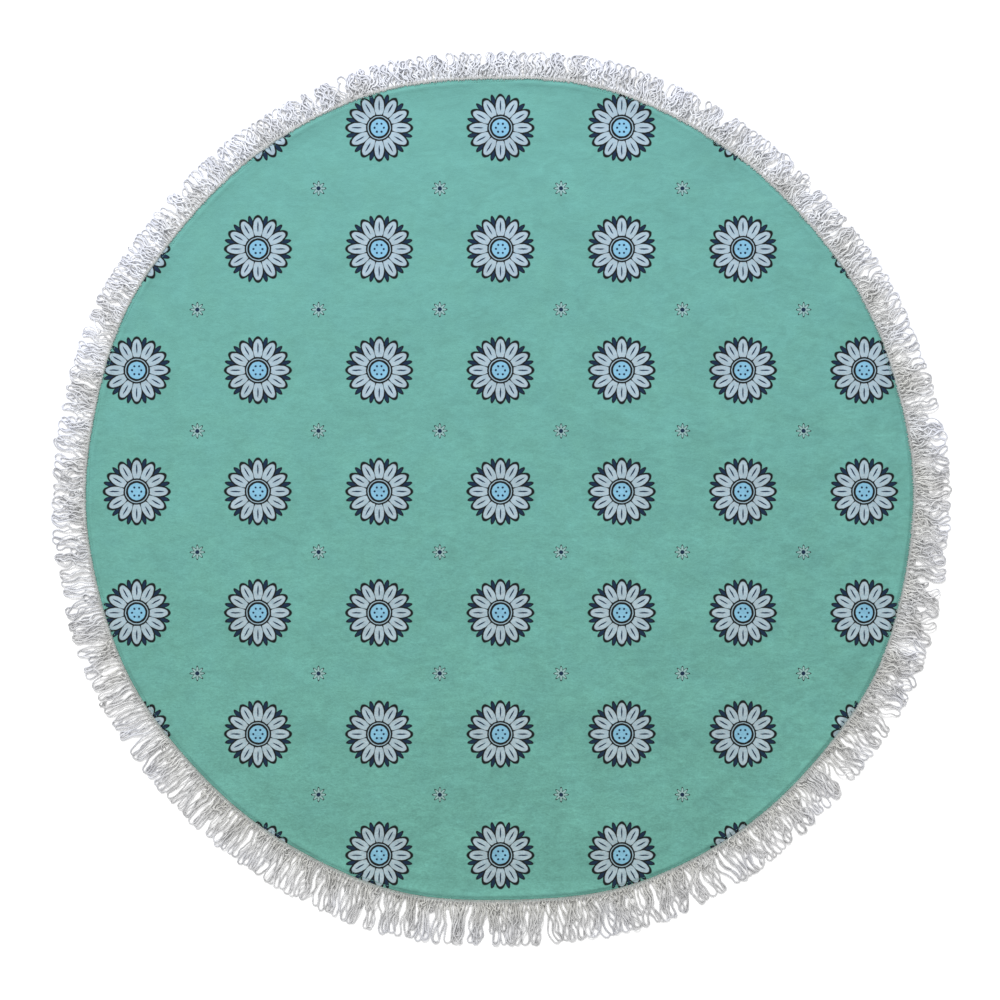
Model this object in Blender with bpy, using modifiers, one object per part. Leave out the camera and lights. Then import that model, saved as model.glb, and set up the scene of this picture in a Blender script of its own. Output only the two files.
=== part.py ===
"""Round beach towel, laid out flat: a printed cloth disc with a turned hem, and a loop fringe whose
header is sewn under the hem. Metres, +Z up, with the origin at the centre of the cloth's underside.
"""

import math
import random

import bmesh
import bpy
from mathutils import Matrix, Vector

# Cloth
CLOTH_RADIUS = 0.7015
CLOTH_THICKNESS = 0.0018
HEM_WIDTH = 0.013
HEM_THICKNESS = 0.0030
HEM_STEP = 0.002  # the face climbs from one layer to two over this width
SEAM_INSET = 0.0055  # from the edge to the seam, which holds the hem and the header's tape
SEAM_DIP = 0.0006  # how far the seam pulls the face down
EDGE_DROP = 0.0013  # the face rolls down this far from the hem's crown to its edge
EDGE_ROUNDING = 0.0006
RISE_WIDTH = 0.016  # the cloth climbs onto the header's tape over this width
RING_SPACING = 0.08
SECTORS = 96  # straight sides round the cloth, and round the header

# Header of the fringe: a thin tape under the hem, and a corded head outside it that grips the loops
TAPE_TOP = 0.0014  # above the floor
TAPE_UNDER_HEM = 0.0095
SEWN_GAP = 0.0003  # between the tape and the hem that it is sewn to
HEAD_INNER = 0.0008  # the head starts this far outside the hem's edge
HEAD_WIDTH = 0.0046
HEAD_TOP = 0.0045  # above the floor
HEADER_OFF_FLOOR = 0.0002  # the loops, and not the header, rest on the floor

# Loops
LOOP_COUNT = 240
YARN_WIDTH = 0.0050
YARN_HEIGHT = 0.0040
REACH = 0.0595  # from the cloth's edge to the loops' tips, where no wave adds to it
REACH_CHANCE = 0.0028
HALF_WIDTH = 0.0043  # from a loop's middle line to the middle of a leg
HALF_WIDTH_CHANCE = 0.0008
ROOT_HALF_WIDTH = 0.0034
ROOT_DEPTH = 0.0018  # how far a loop's foot runs into the head
ROOT_RISE = 0.0003  # the feet leave the head this far off the floor, and the rest of the loop lies on it
SHOULDER_AT = 0.90  # where the tip starts to round, as a share of the loop's length
TIP_SHARE = 0.45  # of the half width, at the tip
FRINGE_SEED = 7

# Waves round the edge: how many there are, their size, and the angle of a crest
OUTLINE_WAVES = (  # sizes in metres, added to the cloth's radius
    {"waves": 1, "size": 0.0017, "crest_deg": 143.0},
    {"waves": 2, "size": 0.0034, "crest_deg": 136.0},
    {"waves": 3, "size": 0.0029, "crest_deg": 90.0},
    {"waves": 6, "size": 0.0008, "crest_deg": 5.0},
    {"waves": 8, "size": 0.0017, "crest_deg": 24.0},
    {"waves": 10, "size": 0.0010, "crest_deg": 3.5},
    {"waves": 14, "size": 0.0011, "crest_deg": 1.0},
)
REACH_WAVES = (  # sizes in metres: longer on the -Y side, crumpled shorter on the +Y side
    {"waves": 1, "size": 0.0155, "crest_deg": -87.0},
    {"waves": 2, "size": 0.0016, "crest_deg": 80.0},
)
LEAN_WAVES = (  # sizes in degrees: neighbours lean together
    {"waves": 5, "size": 2.5, "crest_deg": 10.0},
    {"waves": 11, "size": 2.5, "crest_deg": 30.0},
    {"waves": 17, "size": 2.5, "crest_deg": 5.0},
)

# Low swells where the cloth doesn't lie down on the floor
SWELLS = (
    {"x": 0.33, "y": 0.10, "turn_deg": -8.0, "length": 0.46, "width": 0.20, "height": 0.0050},
    {"x": 0.30, "y": -0.24, "turn_deg": -24.0, "length": 0.44, "width": 0.18, "height": 0.0042},
    {"x": -0.06, "y": 0.34, "turn_deg": 12.0, "length": 0.52, "width": 0.19, "height": 0.0040},
    {"x": -0.36, "y": 0.06, "turn_deg": 76.0, "length": 0.40, "width": 0.18, "height": 0.0036},
    {"x": -0.20, "y": -0.38, "turn_deg": -14.0, "length": 0.44, "width": 0.18, "height": 0.0046},
    {"x": 0.06, "y": -0.36, "turn_deg": 18.0, "length": 0.30, "width": 0.17, "height": 0.0034},
)

SHARP_ANGLE_DEG = 40.0
WELD_DISTANCE = 0.00001
PARTS = "round beach towel"
HELPERS = "helpers"


def clear_scene():
    for obj in list(bpy.data.objects):
        bpy.data.objects.remove(obj)


def collection(name):
    found = bpy.data.collections.get(name)
    if found is None:
        found = bpy.data.collections.new(name)
        bpy.context.scene.collection.children.link(found)
    return found


def make_material(name, colour, roughness):
    material = bpy.data.materials.new(name)
    material.use_nodes = True
    shader = material.node_tree.nodes["Principled BSDF"]
    shader.inputs["Base Color"].default_value = (*colour, 1.0)
    shader.inputs["Roughness"].default_value = roughness
    shader.inputs["Metallic"].default_value = 0.0
    return material


def baked(obj, name, group):
    """The object as its modifiers leave it, as a plain mesh of its own; the first object is removed."""
    bpy.context.view_layer.update()
    graph = bpy.context.evaluated_depsgraph_get()
    mesh = bpy.data.meshes.new_from_object(obj.evaluated_get(graph))
    mesh.name = name
    made = bpy.data.objects.new(name, mesh)
    made.matrix_world = obj.matrix_world.copy()
    collection(group).objects.link(made)
    bpy.data.objects.remove(obj)
    made.name = name
    return made


def weld(obj):
    """Joins the loose caps of tubes to their sides, and turns every face outwards."""
    shell = bmesh.new()
    shell.from_mesh(obj.data)
    bmesh.ops.remove_doubles(shell, verts=shell.verts, dist=WELD_DISTANCE)
    bmesh.ops.recalc_face_normals(shell, faces=shell.faces)
    shell.to_mesh(obj.data)
    shell.free()


def turned(name, profile, group):
    """A solid of revolution about Z from (radius, height) points."""
    mesh = bpy.data.meshes.new(name)
    corners = [(radius, 0.0, height) for radius, height in profile]
    count = len(corners)
    closed = profile[0][0] > 0.0
    last = count if closed else count - 1
    edges = [(i, (i + 1) % count) for i in range(last)]
    mesh.from_pydata(corners, edges, [])
    obj = bpy.data.objects.new(name, mesh)
    collection(group).objects.link(obj)
    screw = obj.modifiers.new("turn", "SCREW")
    screw.steps = SECTORS
    screw.render_steps = SECTORS
    screw.use_merge_vertices = True
    screw.merge_threshold = WELD_DISTANCE
    screw.use_normal_calculate = True
    return baked(obj, name, group)


def waves_at(table, angle):
    """The sum of a table's waves at this angle round the edge."""
    return sum(w["size"] * math.cos(w["waves"] * (angle - math.radians(w["crest_deg"]))) for w in table)


def edge_scale(angle):
    """How far out the edge runs at this angle, as a share of the nominal radius."""
    return 1.0 + waves_at(OUTLINE_WAVES, angle) / CLOTH_RADIUS


def swell_height(x, y):
    """How far the cloth is lifted off the floor, which is nothing outside the swells."""
    height = 0.0
    for swell in SWELLS:
        turn = math.radians(swell["turn_deg"])
        dx, dy = x - swell["x"], y - swell["y"]
        along = (dx * math.cos(turn) + dy * math.sin(turn)) / (swell["length"] / 2)
        across = (dy * math.cos(turn) - dx * math.sin(turn)) / (swell["width"] / 2)
        off = along * along + across * across
        if off < 1.0:
            height += swell["height"] * (1.0 - off) ** 2
    return height


def fit_to_edge(obj):
    """Stretches a turned piece from a true circle to the towel's own outline."""
    for vertex in obj.data.vertices:
        scale = edge_scale(math.atan2(vertex.co.y, vertex.co.x))
        vertex.co.x *= scale
        vertex.co.y *= scale


def cloth_profile():
    """Half the cloth's section, from the middle of its face, round the hem, to the middle below."""
    seat = TAPE_TOP + SEWN_GAP
    crown = seat + HEM_THICKNESS
    rise_start = CLOTH_RADIUS - HEM_WIDTH - RISE_WIDTH
    inner_rings = [RING_SPACING * i for i in range(1, int(rise_start / RING_SPACING) + 1)]
    face = [(0.0, CLOTH_THICKNESS)]
    face += [(radius, CLOTH_THICKNESS) for radius in inner_rings]
    face += [
        (rise_start, CLOTH_THICKNESS),
        (CLOTH_RADIUS - HEM_WIDTH, seat + CLOTH_THICKNESS),
        (CLOTH_RADIUS - HEM_WIDTH + HEM_STEP, crown),
        (CLOTH_RADIUS - SEAM_INSET, crown - SEAM_DIP),
        (CLOTH_RADIUS - SEAM_INSET / 2, crown),
        (CLOTH_RADIUS, crown - EDGE_DROP),
    ]
    underside = [
        (CLOTH_RADIUS, seat + EDGE_ROUNDING),
        (CLOTH_RADIUS - EDGE_ROUNDING, seat),
        (CLOTH_RADIUS - HEM_WIDTH, seat),
        (rise_start, 0.0),
    ]
    underside += [(radius, 0.0) for radius in reversed(inner_rings)]
    underside += [(0.0, 0.0)]
    return face + underside


def make_cloth(material):
    cloth = turned("cloth", cloth_profile(), PARTS)
    fit_to_edge(cloth)
    for vertex in cloth.data.vertices:
        vertex.co.z += swell_height(vertex.co.x, vertex.co.y)
    cloth.data.materials.append(material)
    cloth.data.shade_smooth()
    cloth.data.set_sharp_from_angle(angle=math.radians(SHARP_ANGLE_DEG))
    return cloth


def header_profile():
    """The header's whole section: the flat tape, then the thicker head outside it."""
    tape_inner = CLOTH_RADIUS - TAPE_UNDER_HEM
    head_inner = CLOTH_RADIUS + HEAD_INNER
    head_outer = head_inner + HEAD_WIDTH
    return [
        (tape_inner, TAPE_TOP),
        (head_inner, TAPE_TOP),
        (head_inner, HEAD_TOP),
        (head_outer, HEAD_TOP),
        (head_outer, HEADER_OFF_FLOOR),
        (tape_inner, HEADER_OFF_FLOOR),
    ]


def loop_rows():
    """One row for each loop: where it stands on the edge, its reach, its width and its lean."""
    chance = random.Random(FRINGE_SEED)
    rows = []
    for i in range(LOOP_COUNT):
        angle = 2 * math.pi * (i + 0.5) / LOOP_COUNT
        rows.append(
            {
                "angle": angle,
                "reach": REACH + waves_at(REACH_WAVES, angle) + REACH_CHANCE * chance.uniform(-1, 1),
                "half_width": HALF_WIDTH + HALF_WIDTH_CHANCE * chance.uniform(-1, 1),
                "lean": math.radians(waves_at(LEAN_WAVES, angle)),
            }
        )
    return rows


def loop_points(row):
    """The line along one loop's underside, from foot to foot."""
    edge = CLOTH_RADIUS * edge_scale(row["angle"])
    foot = edge + HEAD_INNER + HEAD_WIDTH - ROOT_DEPTH
    length = edge + row["reach"] - foot - YARN_WIDTH / 2
    side = [
        (0.0, ROOT_HALF_WIDTH, ROOT_RISE),
        (SHOULDER_AT, row["half_width"], 0.0),
        (1.0, TIP_SHARE * row["half_width"], 0.0),
    ]
    outline = side + [(along, -across, height) for along, across, height in reversed(side)]
    towards = Matrix.Rotation(row["angle"], 3, "Z")
    points = []
    for along, across, height in outline:
        out = foot + along * length * math.cos(row["lean"])
        sideways = across + along * length * math.sin(row["lean"])
        points.append(towards @ Vector((out, sideways, height)))
    return points


def yarn_section():
    """The yarn's section: three sides, the flat one down."""
    curve = bpy.data.curves.new("yarn section", "CURVE")
    curve.dimensions = "2D"
    spline = curve.splines.new("POLY")
    spline.points.add(2)
    corners = [(-YARN_WIDTH / 2, 0.0), (YARN_WIDTH / 2, 0.0), (0.0, YARN_HEIGHT)]
    for point, (x, y) in zip(spline.points, corners):
        point.co = (x, y, 0.0, 1.0)
    spline.use_cyclic_u = True
    section = bpy.data.objects.new("yarn section", curve)
    section.hide_render = True
    collection(HELPERS).objects.link(section)
    return section


def make_loops():
    """All the loops as one mesh of closed tubes, which don't touch each other."""
    curve = bpy.data.curves.new("loops", "CURVE")
    curve.dimensions = "3D"
    curve.twist_mode = "Z_UP"
    curve.bevel_mode = "OBJECT"
    curve.bevel_object = yarn_section()
    curve.use_fill_caps = True
    for row in loop_rows():
        points = loop_points(row)
        spline = curve.splines.new("POLY")
        spline.points.add(len(points) - 1)
        for point, place in zip(spline.points, points):
            point.co = (*place, 1.0)
    obj = bpy.data.objects.new("loops", curve)
    collection(HELPERS).objects.link(obj)
    loops = baked(obj, "loops", HELPERS)
    weld(loops)
    return loops


def make_fringe(material):
    fringe = turned("fringe", header_profile(), PARTS)
    fit_to_edge(fringe)
    loops = make_loops()
    loops.hide_render = True
    loops.display_type = "WIRE"
    join = fringe.modifiers.new("loops", "BOOLEAN")
    join.operation = "UNION"
    join.solver = "EXACT"
    join.object = loops
    fringe.data.materials.append(material)
    return fringe


def main():
    clear_scene()
    printed_cloth = make_material("printed cloth", (0.16, 0.42, 0.36), 0.9)
    fringe_yarn = make_material("fringe yarn", (0.86, 0.86, 0.87), 0.85)
    make_cloth(printed_cloth)
    make_fringe(fringe_yarn)


main()
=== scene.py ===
# Round beach towel lying flat on a white studio floor, printed side up, with a looped fringe.
# The towel's middle is the origin, +Y is the top of the picture, and every size is in metres.

import math
import random

import bpy
import numpy as np
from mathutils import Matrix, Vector


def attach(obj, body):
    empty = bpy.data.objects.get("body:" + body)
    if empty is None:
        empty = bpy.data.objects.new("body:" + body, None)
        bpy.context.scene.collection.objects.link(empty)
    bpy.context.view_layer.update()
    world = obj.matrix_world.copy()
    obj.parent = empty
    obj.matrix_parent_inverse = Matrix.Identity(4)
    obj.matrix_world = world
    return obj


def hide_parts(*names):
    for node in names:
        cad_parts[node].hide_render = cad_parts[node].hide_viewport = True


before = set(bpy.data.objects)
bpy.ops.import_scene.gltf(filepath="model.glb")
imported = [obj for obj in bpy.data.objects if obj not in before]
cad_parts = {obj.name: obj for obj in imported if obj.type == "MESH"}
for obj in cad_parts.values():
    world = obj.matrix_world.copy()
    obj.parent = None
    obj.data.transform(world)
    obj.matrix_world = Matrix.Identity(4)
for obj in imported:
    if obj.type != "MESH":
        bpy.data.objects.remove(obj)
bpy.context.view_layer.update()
print("frame loaded")


# Node helpers

def addNode(tree, kind, inputs=None, **settings):
    node = tree.nodes.new(kind)
    for name, value in settings.items():
        setattr(node, name, value)
    for socket, value in (inputs or {}).items():
        plug(tree, node.inputs[socket], value)
    return node


def output(tree, kind, inputs=None, **settings):
    # a node's first output
    return addNode(tree, kind, inputs, **settings).outputs[0]


def plug(tree, socket, value):
    if isinstance(value, bpy.types.NodeSocket):
        tree.links.new(value, socket)
    else:
        socket.default_value = value


def maths(tree, operation, *values):
    return output(tree, "ShaderNodeMath", dict(enumerate(values)), operation=operation)


def mixColour(tree, share, under, over, blend="MIX"):
    values = {0: share, 6: under, 7: over}
    return addNode(tree, "ShaderNodeMix", values, data_type="RGBA", blend_type=blend).outputs[2]


def product(tree, *factors):
    total, *rest = factors
    for factor in rest:
        total = maths(tree, "MULTIPLY", total, factor)
    return total


def lengthOf(tree, a, b):
    return maths(tree, "SQRT", maths(tree, "ADD", product(tree, a, a), product(tree, b, b)))


def vectorMaths(tree, operation, first, second):
    values = {0: first, "Scale" if operation == "SCALE" else 1: second}
    return output(tree, "ShaderNodeVectorMath", values, operation=operation)


def parts(tree, vector):
    # its x, y and z
    return addNode(tree, "ShaderNodeSeparateXYZ", {0: vector}).outputs


def spread(tree, value, low, high, newLow=0.0, newHigh=1.0, smooth=False):
    # takes low to newLow and high to newHigh, and stops there
    kind = "SMOOTHSTEP" if smooth else "LINEAR"
    values = {0: value, 1: low, 2: high, 3: newLow, 4: newHigh}
    return output(tree, "ShaderNodeMapRange", values, interpolation_type=kind)


def fromNoise(tree, noise, newLow, newHigh):
    # nearly all of a noise's values lie between 0.3 and 0.7
    return spread(tree, noise, 0.3, 0.7, newLow, newHigh)


def noiseAt(tree, place, scale, detail=2.0, stretch=(1, 1, 1), turn=0.0, swirl=0.0):
    turned = {"Vector": place, "Rotation": (0, 0, math.radians(turn)), "Scale": stretch}
    mapped = output(tree, "ShaderNodeMapping", turned)
    values = {"Vector": mapped, "Scale": scale, "Detail": detail, "Distortion": swirl}
    return output(tree, "ShaderNodeTexNoise", values)


def varied(tree, place, scale, detail, newLow, newHigh):
    return fromNoise(tree, noiseAt(tree, place, scale, detail), newLow, newHigh)


def newGroup(name, kind, inputs, outputs):
    # inputs and outputs are names with their sockets' types
    tree = bpy.data.node_groups.new(name, kind)
    for direction, sockets in (("INPUT", inputs), ("OUTPUT", outputs)):
        for label, socketType in sockets.items():
            tree.interface.new_socket(label, in_out=direction, socket_type="NodeSocket" + socketType)
    return tree, tree.nodes.new("NodeGroupInput").outputs, tree.nodes.new("NodeGroupOutput").inputs


def resampled(tree, curve, step):
    return output(tree, "GeometryNodeResampleCurve", {"Curve": curve, "Length": step}, mode="LENGTH")


def transformed(tree, geometry, **changes):
    return output(tree, "GeometryNodeTransform", {"Geometry": geometry, **changes})


def randomFloat(tree, low, high, seed, **more):
    values = {2: low, 3: high, "Seed": seed, **more}
    return addNode(tree, "FunctionNodeRandomValue", values, data_type="FLOAT").outputs[1]


def stored(tree, geometry, name, value):
    # the geometry with a value that its material reads
    named = {"Geometry": geometry, "Name": name, "Value": value}
    return output(tree, "GeometryNodeStoreNamedAttribute", named, data_type="FLOAT")


def finished(tree, made, geometry, material):
    smooth = output(tree, "GeometryNodeSetShadeSmooth", {0: geometry})
    real = output(tree, "GeometryNodeRealizeInstances", {0: smooth})
    painted = output(tree, "GeometryNodeSetMaterial", {"Geometry": real, "Material": material})
    plug(tree, made["Geometry"], painted)
    return tree


def linked(name, data):
    obj = bpy.data.objects.new(name, data)
    bpy.context.scene.collection.objects.link(obj)
    return obj


def meshFrom(name, places, faces, *materials):
    mesh = bpy.data.meshes.new(name)
    mesh.from_pydata(places, [], faces)
    for material in materials:
        mesh.materials.append(material)
    mesh.shade_smooth()
    return linked(name, mesh)


def newCurve(name):
    curve = bpy.data.curves.new(name, "CURVE")
    curve.dimensions = "3D"
    return curve


def grown(name, curve, tree, values, material):
    # a curve run through one of the geometry trees, as an ordinary mesh
    values = {**values, "Material": material}
    source = linked(name + "Path", curve)
    modifier = source.modifiers.new(name, "NODES")
    modifier.node_group = tree
    for item in tree.interface.items_tree:
        if item.item_type == "SOCKET" and item.in_out == "INPUT" and item.name in values:
            modifier[item.identifier] = values[item.name]
    bpy.context.view_layer.update()
    evaluated = source.evaluated_get(bpy.context.evaluated_depsgraph_get())
    mesh = bpy.data.meshes.new_from_object(evaluated)
    bpy.data.objects.remove(source)
    mesh.name = name
    return linked(name, mesh)


# The towel's outline and the way it lies

towel = {
    "radius": 0.7015,  # to the cloth's edge
    "outline": (  # waves round the edge: how many, their size, and where one has a crest
        (1, 0.0017, 143.0), (2, 0.0034, 136.0), (3, 0.0029, 90.0), (6, 0.0008, 5.0),
        (8, 0.0017, 24.0), (10, 0.0010, 3.5), (14, 0.0011, 1.0),
    ),
    "swells": (  # where the cloth stands off the floor: x, y, turn, length, width and height
        (0.33, 0.10, -8.0, 0.46, 0.20, 0.0050), (0.30, -0.24, -24.0, 0.44, 0.18, 0.0042),
        (-0.06, 0.34, 12.0, 0.52, 0.19, 0.0040), (-0.36, 0.06, 76.0, 0.40, 0.18, 0.0036),
        (-0.20, -0.38, -14.0, 0.44, 0.18, 0.0046), (0.06, -0.36, 18.0, 0.30, 0.17, 0.0034),
    ),
    "creases": (  # small soft ridges and troughs, the same
        (0.143, 0.036, 8.0, 0.17, 0.034, 0.0012), (0.237, 0.087, -4.0, 0.20, 0.040, 0.0011),
        (0.440, 0.036, -10.0, 0.24, 0.044, 0.0013), (0.420, 0.140, 6.0, 0.22, 0.042, -0.0010),
        (0.254, -0.337, -16.0, 0.22, 0.044, 0.0012), (0.203, -0.167, -12.0, 0.24, 0.040, 0.0011),
        (0.389, -0.167, -22.0, 0.26, 0.046, 0.0013), (0.542, -0.184, -34.0, 0.20, 0.040, 0.0011),
        (-0.120, 0.300, 14.0, 0.26, 0.050, 0.0009), (-0.350, 0.160, 62.0, 0.24, 0.046, 0.0009),
        (-0.270, -0.330, -18.0, 0.28, 0.050, 0.0011), (0.010, -0.450, 10.0, 0.24, 0.044, 0.0010),
    ),
}


def edgeScale(angle):
    # how far out the edge runs at this angle, as a share of the radius
    waves = 0
    for count, size, crest in towel["outline"]:
        waves = waves + size * np.cos(count * (angle - math.radians(crest)))
    return 1 + waves / towel["radius"]


def moundHeight(rows, x, y):
    height = 0 * x
    for middleX, middleY, degrees, length, width, top in rows:
        turn = math.radians(degrees)
        dx, dy = x - middleX, y - middleY
        along = (dx * math.cos(turn) + dy * math.sin(turn)) / (length / 2)
        across = (dy * math.cos(turn) - dx * math.sin(turn)) / (width / 2)
        height = height + top * np.clip(1 - along**2 - across**2, 0, 1) ** 2
    return height


def liftAt(x, y):
    # how far the cloth's underside is off the floor
    height = moundHeight(towel["swells"], x, y) + moundHeight(towel["creases"], x, y)
    return np.maximum(height, 0)


def ripple(angle, seed, shortest, longest, count=7):
    # uneven waves round the edge between -1 and 1, for puckers in the hem
    chance = random.Random(seed)
    total = 0 * angle
    for _ in range(count):
        waves = round(2 * math.pi * towel["radius"] / chance.uniform(shortest, longest))
        total = total + np.sin(waves * angle + chance.uniform(0, 2 * math.pi)) / math.sqrt(count)
    return np.clip(total, -1, 1)


# Cloth

cloth = {
    "cells": 168,  # across the middle grid
    "thickness": 0.0018,
    "clear": 0.0002,  # between the underside and the floor, so that they don't share a plane
    "flatFrom": 0.029,  # inside this inset the cloth lies on the floor
    "hem": (  # inset from the edge and height of the face, from the flat out to the edge
        (0.0240, 0.0023), (0.0190, 0.0030), (0.0150, 0.0035), (0.0135, 0.0038), (0.0122, 0.0042),
        (0.0106, 0.0046), (0.0090, 0.0049), (0.0076, 0.0050), (0.0066, 0.0047), (0.0055, 0.0041),
        (0.0045, 0.0037), (0.0035, 0.0033), (0.0024, 0.0030), (0.0012, 0.0028), (0.0004, 0.0025),
        (0.0000, 0.0021),
    ),
    "under": (  # the same below, from the edge back in
        (0.0003, 0.0018), (0.0014, 0.0017), (0.0060, 0.0017), (0.0130, 0.0017), (0.0185, 0.0012),
        (0.0240, 0.0005),
    ),
    "foldedUnder": 0.013,  # the printed face shows below as far in as this
    "pucker": 0.00032,  # up and down, and in and out
    "puckerBelow": 0.15,  # of that, on the underside
    "puckerSeed": 5,
    "puckerWaves": (0.014, 0.040),  # the shortest and the longest
    "swayWaves": (0.018, 0.060),
    "bulgeFrom": 0.0028,  # above this the hem stands up more in some places than in others
    "bulgeChance": 0.45,
    "bulgeWaves": (0.09, 0.32),
}


def discGrid(cells):
    # a square grid pressed round, with its lines spaced so that the rim's points are even
    line = math.sqrt(2) * np.sin(np.linspace(-math.pi / 4, math.pi / 4, cells + 1))
    u, v = np.meshgrid(line, line)
    return (u * np.sqrt(1 - v * v / 2)).ravel(), (v * np.sqrt(1 - u * u / 2)).ravel()


def rimOf(cells):
    # the grid's outer points, counter-clockwise
    side = cells + 1
    return (
        list(range(cells))
        + [cells + side * i for i in range(cells)]
        + [side * cells + cells - i for i in range(cells)]
        + [side * (cells - i) for i in range(cells)]
    )


def ringFaces(a, b):
    # between two rings of as many points
    return list(zip(a, b, [*b[1:], b[0]], [*a[1:], a[0]]))


def makeCloth(printedFace, terryBack):
    cells = cloth["cells"]
    side = cells + 1
    gridX, gridY = discGrid(cells)
    flatRadius = towel["radius"] - cloth["flatFrom"]
    scale = flatRadius * edgeScale(np.arctan2(gridY, gridX))
    x, y = gridX * scale, gridY * scale
    lift = liftAt(x, y)
    rim = rimOf(cells)
    rimAngle = np.arctan2(gridY[rim], gridX[rim])
    rows = [np.stack([x, y, lift + cloth["thickness"]], 1), np.stack([x, y, lift + cloth["clear"]], 1)]
    seed = cloth["puckerSeed"]
    pucker = cloth["pucker"] * ripple(rimAngle, seed, *cloth["puckerWaves"])
    sway = cloth["pucker"] * ripple(rimAngle, seed + 1, *cloth["swayWaves"])
    loose = cloth["bulgeChance"] * ripple(rimAngle, seed + 2, *cloth["bulgeWaves"])
    for part, level in (("hem", 1.0), ("under", cloth["puckerBelow"])):
        for inset, height in cloth[part]:
            nearEdge = max(0.0, 1 - inset / cloth["foldedUnder"])
            radius = (towel["radius"] - inset) * edgeScale(rimAngle) + sway * nearEdge
            ringX, ringY = radius * np.cos(rimAngle), radius * np.sin(rimAngle)
            bulge = max(0.0, height - cloth["bulgeFrom"]) * loose
            ringZ = height + bulge + liftAt(ringX, ringY) + pucker * level * math.sqrt(nearEdge)
            rows.append(np.stack([ringX, ringY, ringZ], 1))
    faces, kinds = [], []
    for j in range(cells):
        for i in range(cells):
            a = j * side + i
            faces.append((a, a + 1, a + side + 1, a + side))
            faces.append(tuple(side * side + k for k in (a, a + side, a + side + 1, a + 1)))
            kinds += [0, 1]
    # rings from the face's rim, round the edge, to the underside's rim
    count = len(rim)
    starts = range(2 * side * side, 2 * side * side + (len(rows) - 2) * count, count)
    rings = [rim, *(range(start, start + count) for start in starts), [side * side + i for i in rim]]
    insets = [row[0] for part in ("hem", "under") for row in cloth[part]] + [cloth["flatFrom"]]
    for k, (a, b) in enumerate(zip(rings, rings[1:])):
        white = k >= len(cloth["hem"]) and insets[k] > cloth["foldedUnder"]
        faces += ringFaces(a, b)
        kinds += [int(white)] * count
    piece = meshFrom("towel_cloth", np.concatenate(rows).tolist(), faces, printedFace, terryBack)
    piece.data.polygons.foreach_set("material_index", kinds)
    return piece


ringAngles = np.linspace(0, 2 * math.pi, 720, endpoint=False)  # every half degree


def ringPath(name, out, height):
    # a closed path round the towel, this far out from the cloth's edge
    curve = newCurve(name)
    spline = curve.splines.new("POLY")
    spline.points.add(len(ringAngles) - 1)
    spline.use_cyclic_u = True
    radius = towel["radius"] * edgeScale(ringAngles) + out
    x, y = radius * np.cos(ringAngles), radius * np.sin(ringAngles)
    spline.points.foreach_set("co", np.stack([x, y, height + liftAt(x, y), 1 + 0 * x], 1).ravel())
    return curve


# Stitches along the hem

stitching = {
    "inset": 0.0055,
    "height": 0.0043,
    "row": {  # for the tree below
        "Spacing": 0.0042,
        "Size": (0.0033, 0.0007, 0.0006),  # length, width and depth
        "Length Chance": 0.3,
        "Unevenness": 0.0003,
        "Seed": 3,
    },
}


def stitchTree():
    # a row of stitches along a curve, turned from the way it runs
    tree, given, made = newGroup("stitchRow", "GeometryNodeTree", {
        "Geometry": "Geometry", "Spacing": "Float", "Size": "Vector", "Turn": "Float", "Turn Chance": "Float",
        "Length Chance": "Float", "Unevenness": "Float", "Seed": "Int", "Material": "Material",
    }, {"Geometry": "Geometry"})
    path = resampled(tree, given["Geometry"], given["Spacing"])
    tangent = output(tree, "GeometryNodeInputTangent")
    facing = output(tree, "FunctionNodeAlignRotationToVector", {"Vector": tangent}, axis="X", pivot_axis="Z")
    slants, lengths = (randomFloat(tree, -1.0, 1.0, maths(tree, "ADD", given["Seed"], i)) for i in (1.0, 2.0))
    slant = maths(tree, "MULTIPLY_ADD", slants, given["Turn Chance"], given["Turn"])
    turned = output(tree, "FunctionNodeAxisAngleToRotation", {"Axis": (0, 0, 1), "Angle": slant})
    turned = output(tree, "FunctionNodeRotateRotation", {0: facing, 1: turned}, rotation_space="LOCAL")
    anyWay = {0: (-1, -1, 0), 1: (1, 1, 0), "Seed": given["Seed"]}
    chance = output(tree, "FunctionNodeRandomValue", anyWay, data_type="FLOAT_VECTOR")
    offset = vectorMaths(tree, "SCALE", chance, given["Unevenness"])
    points = output(tree, "GeometryNodeSetPosition", {"Geometry": path, "Offset": offset})
    ball = output(tree, "GeometryNodeMeshUVSphere", {"Segments": 5, "Rings": 4, "Radius": 0.5})
    endOn = transformed(tree, ball, Rotation=(0, math.pi / 2, 0))
    # from one end of the stitch to the other, 0 to 1
    along = maths(tree, "ADD", parts(tree, output(tree, "GeometryNodeInputPosition"))[0], 0.5)
    stitch = transformed(tree, stored(tree, endOn, "along", along), Scale=given["Size"])
    longer = maths(tree, "MULTIPLY_ADD", lengths, given["Length Chance"], 1.0)
    size = output(tree, "ShaderNodeCombineXYZ", {0: longer, 1: 1.0, 2: 1.0})
    placed = {"Points": points, "Instance": stitch, "Rotation": turned, "Scale": size}
    stitches = output(tree, "GeometryNodeInstanceOnPoints", placed)
    return finished(tree, made, stitches, given["Material"])


def makeStitches(thread, tree):
    path = ringPath("hemSeam", -stitching["inset"], stitching["height"])
    return grown("hem_stitches", path, tree, stitching["row"], thread)


# Yarn, twisted along any path

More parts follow.
